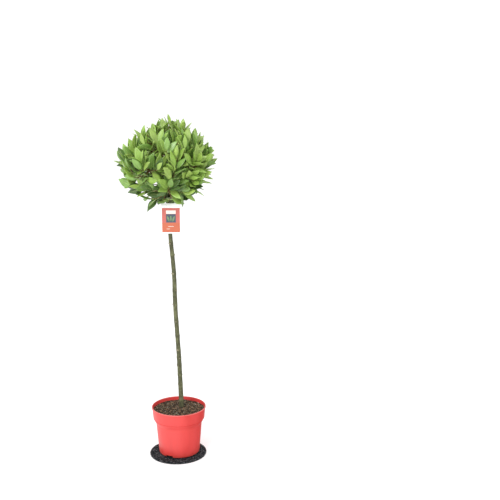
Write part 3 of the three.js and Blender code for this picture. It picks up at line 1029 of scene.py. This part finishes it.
class BAY_OT_mat(Operator):
    """Add the flat round mat of black crumb that the pot stands on"""

    bl_idname = "bay.mat"
    bl_label = "Mat"

    SIDES = 120
    TOP_RINGS = 26

    # The share of the crumbs that lie on its edge, and how deep the others sit in its top
    EDGE_SHARE = 0.2
    CRUMB_SUNK = 0.0004

    # Its rounded edge, from the mat's radius and from the floor or the top
    EDGE = 0.003
    LOWER_EDGE = [(-EDGE, 0), (-0.0008, 0.0006), (0, 0.0025)]
    UPPER_EDGE = [(0, -0.0022), (-0.001, -0.0006)]

    def execute(self, context):
        pot = context.scene.bay_pot
        low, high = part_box("mat")
        centre = (low + high) / 2
        radius, thick = high.x - centre.x, high.z
        profile = moved(self.LOWER_EDGE, radius, 0) + moved(self.UPPER_EDGE, radius, thick)
        for k in range(self.TOP_RINGS + 1):
            inward = (radius - 2 * self.EDGE) * k / self.TOP_RINGS
            profile.append((radius - self.EDGE - inward, thick))
        mat = turned(profile, self.SIDES, centre.xy)
        roughened(mat, grain=0.006, depth=0.0012, group=above(mat, thick - self.EDGE))
        rubber = crumbly_material("crumb_rubber", pot.mat, pot.fleck, *RUBBER_CRUMBS)
        finish_piece(mat, "mat", [rubber], ["mat"], crease=50)
        chance = random.Random(5)
        for name, tries, base, drifts, sizes in (
            ("mat_crumbs", 1500, pot.mat, None, (1.4, 3.8)),
            ("mat_flecks", 1300, pot.fleck, 85, (1.8, 4.6)),
        ):
            places = self.places(tries, drifts, centre, radius, thick, pot.foot_radius, chance)
            material = grainy_material(name, base, *RUBBER_GRAIN)
            add_crumbs(name, places, chance, (sizes, 0.6, 1), material)
        return {"FINISHED"}

    def places(self, tries, drifts, centre, radius, thick, foot, chance):
        """Places on the mat's top round the pot, and a few on its edge."""
        for _ in range(tries):
            turn = chance.uniform(0, FULL_TURN)
            out = radius * math.sqrt(chance.uniform(0.3, 1)) * 0.995
            level = thick - self.CRUMB_SUNK
            if chance.random() < self.EDGE_SHARE:
                out, level = radius - 0.0006, chance.uniform(0.002, thick - 0.001)
            place = Vector((*centre.xy, level)) + ring_point(turn, out)
            if place.xy.length >= foot + 0.001 and not thinned_out(place, drifts, chance):
                yield place


class BAY_OT_pot(Operator):
    """Add the red pot: a thin shell with a deep collar, a rolled lip and gaps in its foot"""

    bl_idname = "bay.pot"
    bl_label = "Pot"

    SIDES = 128

    # The gaps' turns in degrees, and how far each cutter reaches through the foot ring
    NOTCHES = (-116, 4, 124)
    NOTCH_DEPTH = 0.024

    # Stretches of the outer line: the ring that the pot stands on, from the foot's radius and the
    # floor, the groove below the collar, from the rim's radius and the collar's foot, and the lip,
    # from the rim's radius and the top
    STAND = [(-0.030, 0.006), (-0.011, 0.006), (-0.010, 0), (-0.005, 0), (-0.0015, 0.004)]
    GROOVE = [(-0.0083, -0.0036), (-0.0096, -0.0029), (-0.0095, -0.0019), (-0.0066, -0.0008)]
    LIP = [
        (-0.0022, -0.006),
        (0, -0.005),
        (0, -0.002),
        (-0.0007, -0.0006),
        (-0.0017, 0),
        (-0.0034, 0),
    ]

    # Where the body begins, how much higher the inner line's points lie, and the pot's floor
    BODY_FOOT = 0.012
    WALL_RISE = 0.0006
    FLOOR_LEVEL = 0.0085

    def execute(self, context):
        settings = context.scene.bay_pot
        low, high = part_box("pot")
        rim, height, foot = high.x, high.z - low.z, settings.foot_radius
        band_foot = height - settings.band_height
        step_foot = band_foot - settings.step_height
        half_way = self.BODY_FOOT + (step_foot - self.BODY_FOOT) / 2
        body = [(foot, self.BODY_FOOT), (foot + 0.0052, half_way), (foot + BODY_SPREAD, step_foot)]
        groove = moved(self.GROOVE, rim, band_foot)
        lip = moved(self.LIP, rim, height)
        inner = moved([*body, groove[-1], lip[0]], -settings.wall, self.WALL_RISE)
        floor = [(foot - settings.wall - 0.003, self.FLOOR_LEVEL), (foot - 0.030, self.FLOOR_LEVEL)]
        profile = [*moved(self.STAND, foot, 0), *body, *groove, *lip, *inner[::-1], *floor]
        pot = turned(moved(profile, 0, low.z), self.SIDES)
        for degrees in self.NOTCHES:
            self.cut_notch(pot, settings, math.radians(degrees), foot, low.z)
        apply_modifier(pot, "BEVEL", width=0.0006, segments=3, angle_limit=math.radians(17))
        plastic = pot_material("red_plastic", settings.red, high.z)
        finish_piece(pot, "pot", [plastic], ["pot"], crease=40)
        return {"FINISHED"}

    def cut_notch(self, pot, settings, turn, foot, level):
        """Cuts one gap through the foot ring."""
        place = Vector((foot - 0.002, 0, level))
        place.rotate(Quaternion(UP, turn))
        cutter = added(
            bpy.ops.mesh.primitive_cube_add, size=1, location=place, rotation=(0, 0, turn)
        )
        cutter.scale = (self.NOTCH_DEPTH, settings.notch_width, settings.notch_height * 2)
        leave_edit(cutter)
        apply_modifier(cutter, "BEVEL", width=0.0008, segments=2)
        apply_modifier(pot, "BOOLEAN", object=cutter, operation="DIFFERENCE", solver="EXACT")
        bpy.data.objects.remove(cutter)


class BAY_OT_compost(Operator):
    """Add the compost, with crumbs, bark chips and grit on its uneven surface"""

    bl_idname = "bay.compost"
    bl_label = "Compost"

    SIDES = 144
    TOP_RINGS = 40

    # The gap between the pot's wall and the compost, the low mound round the trunk, and the room
    # that the loose bits leave to the trunk's middle
    GAP = 0.0003
    MOUND_HEIGHT = 0.006
    MOUND_TOP = 0.034
    MOUND_FOOT = 0.095
    TRUNK_ROOM = 0.0135

    def execute(self, context):
        settings = context.scene.bay_pot
        low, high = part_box("compost")
        rim, pot_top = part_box("pot")[1].x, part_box("pot")[1].z
        gap = self.GAP + settings.wall
        foot = settings.foot_radius
        band_foot = pot_top - settings.band_height
        step_foot = band_foot - settings.step_height
        top = high.z - 0.0015
        edge = rim - 0.0065 - gap + 0.003
        profile = [
            (foot - 0.012, low.z),
            (foot - 0.006, low.z),
            (foot - gap, low.z + 0.004),
            (foot + BODY_SPREAD - gap, step_foot),
            (rim - 0.0075 - gap, band_foot - 0.003),
            (edge - 0.002, top - 0.012),
            (edge, top - self.MOUND_HEIGHT),
        ]
        for k in range(1, self.TOP_RINGS + 1):
            radius = edge - (edge - 0.002) * k / self.TOP_RINGS
            profile.append((radius, top - self.MOUND_HEIGHT * self.fall(radius)))
        compost = turned(profile, self.SIDES)
        surface = above(compost, top - self.MOUND_HEIGHT - 0.001)
        roughened(compost, grain=0.024, depth=0.006, group=surface)
        roughened(compost, grain=0.006, depth=0.0035, group=surface)
        soil = crumbly_material("compost", settings.compost, settings.crumb, *SOIL_CRUMBS)
        finish_piece(compost, "compost", [soil], ["compost"], crease=60)
        self.scatter(settings, compost, edge - 0.002)
        return {"FINISHED"}

    def fall(self, radius):
        """How far the mound has fallen at a radius: 0 in the middle, 1 at the pot's wall."""
        share = min(1, max(0, (radius - self.MOUND_TOP) / (self.MOUND_FOOT - self.MOUND_TOP)))
        return share * share * (3 - 2 * share)

    def scatter(self, settings, compost, radius):
        """Loose bits on the surface: dark and brown crumbs, chips and grit."""
        surface = BVHTree.FromObject(compost, bpy.context.evaluated_depsgraph_get())
        chance = random.Random(8)
        for name, amount, base, drifts, form in (
            ("crumbs_dark", 2400, settings.compost, None, ((1.6, 6.0), 0.7, 1.2)),
            ("crumbs_brown", 1300, settings.crumb, 70, ((1.4, 5.2), 0.7, 1.3)),
            ("crumbs_grey", 700, settings.grey_crumb, 70, ((1.4, 4.6), 0.7, 1.2)),
            ("bark_chips", 420, settings.chip, 70, ((1.3, 3.2), 0.4, 3.2)),
            ("grit", 130, settings.grit, 70, ((1.4, 3.2), 0.8, 1.1)),
        ):
            places = self.places(amount, drifts, surface, radius, chance)
            material = grainy_material(name, base, *SOIL_GRAIN)
            add_crumbs(name, places, chance, form, material)

    def places(self, amount, drifts, surface, radius, chance):
        """This many places on the surface, clear of the trunk."""
        trunk = trunk_centre(COMPOST_LEVEL).xy
        while amount:
            out = radius * math.sqrt(chance.random())
            place = ring_point(chance.uniform(0, FULL_TURN), out) + UP * 0.3
            clear = (place.xy - trunk).length >= self.TRUNK_ROOM
            if clear and not thinned_out(place, drifts, chance):
                amount -= 1
                yield surface.ray_cast(place, -UP)[0] + UP * 0.0004


class BAY_OT_trunk(Operator):
    """Add the trunk with its nodes and scars, and the boughs inside the head"""

    bl_idname = "bay.trunk"
    bl_label = "Trunk and boughs"

    # Sides and steps, and how deep the trunk's foot is sunk into the compost
    SIDES = 28
    STEPS = 130
    BOUGH_SIDES = 16
    BOUGH_STEPS = 14
    SUNK = 0.004

    # How far the bark stands out of the solid, and from where to where that ends below the strap
    BARK_PROUD = 0.0009
    STRAP_LEVELS = (1.05, 1.11)

    # Nodes on the trunk: level, turn of the scar in degrees, and the scar's size
    NODES = [
        (0.322, -150, 0.9),
        (0.368, -20, 0.7),
        (0.413, 190, 1.3),
        (0.447, -70, 0.7),
        (0.486, -110, 1.2),
        (0.551, 30, 0.8),
        (0.618, -95, 0.8),
        (0.697, -140, 1.1),
        (0.761, -40, 1.0),
        (0.838, -120, 1.3),
        (0.921, -10, 1.3),
        (0.972, -125, 1.2),
        (1.064, 80, 1.0),
    ]

    def execute(self, context):
        wood = context.scene.bay_wood
        bark = bark_material("bark", wood.bark, wood.bark_shade)
        low, top = COMPOST_LEVEL - self.SUNK, TRUNK_CENTRES[-1, 2]
        levels = [low + (top - low) * k / self.STEPS for k in range(self.STEPS + 1)]
        radii = [self.bark_radius(level) * self.swelling(wood, level) for level in levels]
        trunk = ringed(list(zip(map(trunk_centre, levels), radii)), self.SIDES)
        roughened(trunk, grain=0.016, depth=0.0011)
        roughened(trunk, grain=0.005, depth=0.0004)
        finish_piece(trunk, "trunk", [bark], ["trunk"], crease=60)
        self.add_scars(wood)
        self.add_boughs(wood, bark)
        return {"FINISHED"}

    def bark_radius(self, level):
        """The trunk's radius at a level with its bark, between two nodes."""
        proud = float(np.interp(level, self.STRAP_LEVELS, (self.BARK_PROUD, 0.0001)))
        return trunk_radius(level) + proud

    def swelling(self, wood, level):
        """The trunk is a little thicker at each node."""
        nearness = min(abs(level - node_level) for node_level, _, _ in self.NODES)
        return 1 + wood.node_swelling * math.exp(-((nearness / 0.0065) ** 2))

    def add_scars(self, wood):
        """An oval scar or pruned stub at each node."""
        piece = added(bpy.ops.mesh.primitive_uv_sphere_add, segments=14, ring_count=8, radius=1)
        bpy.ops.transform.resize(value=(0.0013, 0.0056, 0.0031))
        scar = taken_shape(leave_edit(piece))
        copies = []
        for level, degrees, size in self.NODES:
            spin = Quaternion(UP, math.radians(degrees))
            out = self.bark_radius(level) * (0.98 + wood.node_swelling)
            place = trunk_centre(level) + spin @ Vector((out, 0, 0))
            turn = spin.to_matrix().to_4x4() @ Matrix.Scale(size, 4)
            copies.append((scar, Matrix.Translation(place) @ turn))
        material = grainy_material("scars", wood.scar, *SCAR_GRAIN)
        add_copies("trunk_scars", copies, [material])

    def add_boughs(self, wood, bark):
        """Each bough leaves the trunk with a small collar and tapers to its first leaves."""
        boughs = []
        for mass in MASSES:
            axis = (mass.bough.at(1) - mass.bough.at(0)).normalized()
            rings = []
            for k in range(self.BOUGH_STEPS + 1):
                share = k / self.BOUGH_STEPS
                radius = wood.bough_root + (wood.bough_tip - wood.bough_root) * share**0.7
                collar = 1 + 0.4 * math.exp(-share * mass.bough.length / 0.009)
                rings.append((mass.bough.at(share), radius * collar))
            bough = ringed(rings, self.BOUGH_SIDES, axis.to_track_quat("Z", "Y").to_euler())
            roughened(bough, grain=0.008, depth=0.0005)
            boughs.append(bough)
        select_only(*boughs)
        bpy.ops.object.join()
        replaced = [name for name in NODES if name.startswith("bough_")]
        finish_piece(boughs[0], "boughs", [bark], replaced, crease=60)


class BAY_OT_foliage(Operator):
    """Add the shoots, buds, midribs and leaves of the head"""

    bl_idname = "bay.foliage"
    bl_label = "Shoots and leaves"

    def execute(self, context):
        foliage = context.scene.bay_foliage
        shoots = [shoot for mass in MASSES for shoot in shoots_of(mass, foliage)]
        crowd = Crowd()
        self.add_shoots(foliage, shoots, crowd)
        self.add_wood(crowd)
        blades = [modelled_leaf(foliage, *form) for form in BLADE_FORMS]
        thin = [thin_blade(blade, foliage) for blade in blades]
        placed = grow_leaves(shoots, foliage, thin, crowd)
        groups = {name: [] for name, _ in AGE_LIMITS}
        for matrix, kind, age_and_shade in placed:
            group = next(name for name, limit in AGE_LIMITS if age_and_shade < limit)
            groups[group].append((blades[kind], matrix))
        replaced = [name for name in NODES if name.startswith("foliage_")]
        for name, copies in groups.items():
            base = getattr(foliage, name)
            lift = sum(base) / sum(foliage.grown)
            pale = tuple(0.6 * channel + 0.25 * own for channel, own in zip(foliage.underside, base))
            under = shaded(pale, min(1.25, 0.8 + 0.2 * lift))
            materials = [leaf_upper(f"leaf_{name}", base), leaf_under(f"underside_{name}", under)]
            add_copies(f"leaves_{name}", copies, materials, replaced)
        ribs = [rib_shape(foliage, droop) for _, droop, _, _ in BLADE_FORMS]
        copies = [(ribs[kind], matrix) for matrix, kind, _ in placed]
        rib = grainy_material("midrib", foliage.rib, *RIB_GRAIN)
        add_copies("midribs", copies, [rib])
        return {"FINISHED"}

    def add_shoots(self, foliage, shoots, crowd):
        """Thin tapering shoots, each ending in a bud."""
        copies, buds = [], []
        bud = bud_shape()
        for shoot in shoots:
            steps = 9 if shoot.main else 6
            shares = [k / (steps - 1) for k in range(steps)]
            points = [shoot.line.at(share) for share in shares]
            taper = shoot.tip_radius - shoot.root_radius
            radii = [shoot.root_radius + taper * share for share in shares]
            copies.append((tube_shape(points, radii, 6), IN_PLACE))
            crowd.add(tube_shape(points[::2], radii[::2], 3))
            turn = shoot.line.direction(1).to_track_quat("X", "Z").to_matrix().to_4x4()
            buds.append((bud, Matrix.Translation(points[-1]) @ turn))
        bark = grainy_material("shoot_bark", foliage.shoot, *SHOOT_GRAIN)
        add_copies("shoots", copies, [bark])
        tender = grainy_material("bud", shaded(foliage.young, 0.8), *BUD_GRAIN)
        add_copies("buds", buds, [tender])

    def add_wood(self, crowd):
        """The trunk's upper part and the boughs, which the leaves keep clear of too."""
        levels = [1.0 + 0.29 * k / 8 for k in range(9)]
        crowd.add(tube_shape(map(trunk_centre, levels), list(map(trunk_radius, levels)), 12))
        for mass in MASSES:
            crowd.add(tube_shape([mass.bough.at(k / 5) for k in range(6)], [0.005] * 6, 8))


class BAY_OT_label(Operator):
    """Add the printed card that hangs in front of the trunk, and its strap"""

    bl_idname = "bay.label"
    bl_label = "Label"

    CARD_WIDTH = 0.088
    CARD_HEIGHT = 0.132
    CARD_THICK = 0.0009
    STRAP_LEVEL = 1.14
    STRAP_THICK = 0.0009
    STRAP_HALF = 0.006

    # The printed fields: slot, lowest and highest x, and lowest and highest z above the card's foot
    FIELDS = [
        (1, -0.039, 0.039, 0.005, 0.112),
        (2, -0.039, 0.039, 0.005, 0.047),
        (4, -0.021, 0.021, 0.086, 0.101),
        (3, -0.021, 0.021, 0.048, 0.085),
    ]

    # The motif: half a leaf's width and length, the level, spacing and lean of the three leaves,
    # and the two bars, each as x, z and length, where length and height are shares of a leaf's
    LEAF_SIZE = (0.0045, 0.013, 1)
    LEAF_LEVEL = 0.0665
    LEAF_SPACING = 0.0115
    LEAF_LEAN = 0.35
    BARS = [(0, 0.031, 3.2), (-0.012, 0.020, 1.8)]
    BAR_HEIGHT = 0.09
    INK_THICK = 0.0002

    def execute(self, context):
        label = context.scene.bay_label
        low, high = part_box("label")
        middle = high.x - self.CARD_WIDTH / 2
        centre = Vector((middle, low.y + self.CARD_THICK / 2, low.z + self.CARD_HEIGHT / 2))
        card = self.card(centre)
        inks = [
            ("card", label.card, 0.45),
            ("print_red", label.panel),
            ("print_orange", label.lower_field),
            ("print_slate", label.slate),
            ("print_cream", label.cream),
        ]
        materials = [print_material(*ink) for ink in inks]
        finish_piece(card, "label", materials, ["label"], crease=40)
        self.printed(card, centre)
        self.add_motif(label, centre)
        return {"FINISHED"}

    def card(self, centre):
        """A thin card with rounded corners, cut where the print changes colour, and its strap."""
        piece = added(bpy.ops.mesh.primitive_cube_add, size=1, location=centre)
        bpy.ops.transform.resize(value=(self.CARD_WIDTH, self.CARD_THICK, self.CARD_HEIGHT))
        mesh = bmesh.from_edit_mesh(piece.data)
        for edge in mesh.edges:
            run = edge.verts[0].co - edge.verts[1].co
            edge.select_set(abs(run.y) > abs(run.x) + abs(run.z))
        bmesh.update_edit_mesh(piece.data)
        bpy.ops.mesh.bevel(offset=0.003, segments=5)
        foot = centre.z - self.CARD_HEIGHT / 2
        sides = sorted({x for field in self.FIELDS for x in field[1:3]})
        levels = sorted({z for field in self.FIELDS for z in field[3:5]})
        cuts = [((centre.x + x, 0, 0), (1, 0, 0)) for x in sides]
        cuts += [((0, 0, foot + z), (0, 0, 1)) for z in levels]
        for spot, normal in cuts:
            bpy.ops.mesh.select_all(action="SELECT")
            bpy.ops.mesh.bisect(plane_co=spot, plane_no=normal)
        leave_edit(piece)
        select_only(piece, self.strap())
        bpy.ops.object.join()
        apply_modifier(piece, "BEVEL", width=0.00015, segments=2, angle_limit=math.radians(50))
        return piece

    def strap(self):
        """A flat band round the trunk, just below the head."""
        centre = trunk_centre(self.STRAP_LEVEL)
        inner = trunk_radius(self.STRAP_LEVEL) + 0.0005
        outer = inner + self.STRAP_THICK
        low, high = (centre.z + side * self.STRAP_HALF for side in (-1, 1))
        profile = [(inner, low), (outer, low), (outer, high), (inner, high), (inner, low)]
        return turned(profile, 48, centre.xy, fill_type="NOTHING")

    def printed(self, card, centre):
        """Gives each front face the colour of the field that it lies in."""
        for face in card.data.polygons:
            if face.normal.y > -0.9 or abs(face.center.y - centre.y) > self.CARD_THICK:
                continue
            x = face.center.x - centre.x
            z = face.center.z - centre.z + self.CARD_HEIGHT / 2
            for slot, left, right, foot, top in self.FIELDS:
                if left < x < right and foot < z < top:
                    face.material_index = slot

    def add_motif(self, label, centre):
        """Three printed leaves side by side on the slate field, and two bars on the orange one."""
        foot = centre.z - self.CARD_HEIGHT / 2
        front = centre.y - self.CARD_THICK / 2 - 0.00012
        leaf = added(bpy.ops.mesh.primitive_circle_add, vertices=14, radius=1, fill_type="NGON")
        bpy.ops.transform.resize(value=self.LEAF_SIZE, center_override=(0, 0, 0))
        bpy.ops.mesh.extrude_region_move()
        bpy.ops.transform.translate(value=(0, 0, self.INK_THICK))
        shape = taken_shape(leave_edit(leaf))
        upright = Matrix.Rotation(math.pi / 2, 4, "X")
        leaves, bars = [], []
        for k in (-1, 0, 1):
            lean = Matrix.Rotation(self.LEAF_LEAN * k, 4, "Y")
            level = foot + self.LEAF_LEVEL - 0.002 * abs(k)
            place = Matrix.Translation((centre.x + self.LEAF_SPACING * k, front, level))
            leaves.append((shape, place @ lean @ upright))
        for x, z, long in self.BARS:
            place = Matrix.Translation((centre.x + x, front, foot + z))
            size = Matrix.Diagonal((long, self.BAR_HEIGHT, 1, 1))
            bars.append((shape, place @ upright @ size))
        add_copies("label_leaves", leaves, [print_material("print_green", label.leaf)])
        add_copies("label_bars", bars, [print_material("print_bars", label.cream)])


class BAY_OT_stage(Operator):
    """Add the plain pale floor, the soft lights and the camera"""

    bl_idname = "bay.stage"
    bl_label = "Stage"

    FLOOR_SIZE = 24
    AIM = Vector((0, 0, 0.9))

    # Each light's place and width
    KEY = ((-1.45, -3.25, 2.9), 1.6)
    FILL = ((2.6, -2.2, 1.6), 2.4)

    def execute(self, context):
        stage = context.scene.bay_stage
        self.add_floor(stage)
        context.scene.world = self.even_light(stage)
        self.light("key", stage.key, *self.KEY)
        self.light("fill", stage.fill, *self.FILL)
        self.add_camera(context)
        context.scene.view_settings.view_transform = "Standard"
        return {"FINISHED"}

    def even_light(self, stage):
        """Even light from all round. Only below the floor, where nothing but a reflection on the
        pot looks, it is darker: straight down and on the right."""
        light = Nodes(bpy.data.worlds.new("soft_white"))
        aside, _, rise = light.add("SeparateXYZ", Vector=light.add("TexCoord")["Generated"])
        low = light.ramp(rise, -0.12, -0.26)
        right = light.math("MULTIPLY", light.ramp(aside, 0.05, 0.45), low)
        dark = light.math("MAXIMUM", right, light.ramp(rise, -0.7, -0.95, 0, 0.45))
        sky = light.tree.nodes["Background"].inputs
        sky["Color"].default_value = (1, 1, 1, 1)
        strength = light.ramp(dark, 0, 1, stage.sky, stage.sky * stage.below_share)
        light.feed(sky["Strength"], strength)
        return light.owner

    def add_floor(self, stage):
        """The floor: a wide pale plane."""
        select_only()
        bpy.ops.mesh.primitive_plane_add(size=self.FLOOR_SIZE, location=(0, 0, -0.0004))
        floor = bpy.context.object
        floor.name = "floor"
        paper = Finish("floor", stage.floor, 0.9, 0.5)
        paper.sockets["Emission Color"].default_value = (1, 1, 1, 1)
        paper.sockets["Emission Strength"].default_value = stage.floor_glow
        floor.data.materials.append(paper.owner)
        floor.visible_glossy = False

    def light(self, name, power, place, size):
        """A square soft light that faces the tree."""
        bpy.ops.object.light_add(type="AREA", location=place)
        lamp = bpy.context.object
        lamp.name = name
        lamp.data.shape = "SQUARE"
        lamp.data.size = size
        lamp.data.energy = power
        lamp.rotation_euler = (self.AIM - Vector(place)).to_track_quat("-Z", "Y").to_euler()

    def add_camera(self, context):
        """The camera at the picture's own place and angle."""
        bpy.ops.object.camera_add(
            location=CAMERA_PLACE, rotation=(math.pi / 2 - CAMERA_PITCH, 0, 0)
        )
        camera = context.object
        camera.name = "camera"
        camera.data.sensor_width = FILM_WIDTH
        camera.data.lens = CAMERA_LENS
        context.scene.camera = camera


class BAY_PT_tree(Panel):
    """The bay tree's pieces, in the order in which they are added"""

    bl_idname = "BAY_PT_tree"
    bl_label = "Bay tree"
    bl_space_type = "VIEW_3D"
    bl_region_type = "UI"
    bl_category = "Bay tree"

    def draw(self, context):
        for operator in OPERATORS:
            self.layout.operator(operator.bl_idname)
        for key, group in SETTINGS.items():
            box = self.layout.box()
            for name in group.__annotations__:
                box.prop(getattr(context.scene, key), name)


OPERATORS = [
    BAY_OT_mat,
    BAY_OT_pot,
    BAY_OT_compost,
    BAY_OT_trunk,
    BAY_OT_foliage,
    BAY_OT_label,
    BAY_OT_stage,
]


def register():
    """Adds the settings, the operators and the panel."""
    for group in (*SETTINGS.values(), *OPERATORS, BAY_PT_tree):
        bpy.utils.register_class(group)
    for key, group in SETTINGS.items():
        setattr(bpy.types.Scene, key, PointerProperty(type=group))


def unregister():
    """Takes them out again."""
    for key in SETTINGS:
        delattr(bpy.types.Scene, key)
    for group in (BAY_PT_tree, *reversed(OPERATORS), *SETTINGS.values()):
        bpy.utils.unregister_class(group)


def main():
    """Adds the whole tree."""
    register()
    bpy.ops.bay.mat()
    bpy.ops.bay.pot()
    bpy.ops.bay.compost()
    bpy.ops.bay.trunk()
    bpy.ops.bay.foliage()
    bpy.ops.bay.label()
    bpy.ops.bay.stage()
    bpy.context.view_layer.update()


if __name__ == "__main__":
    main()
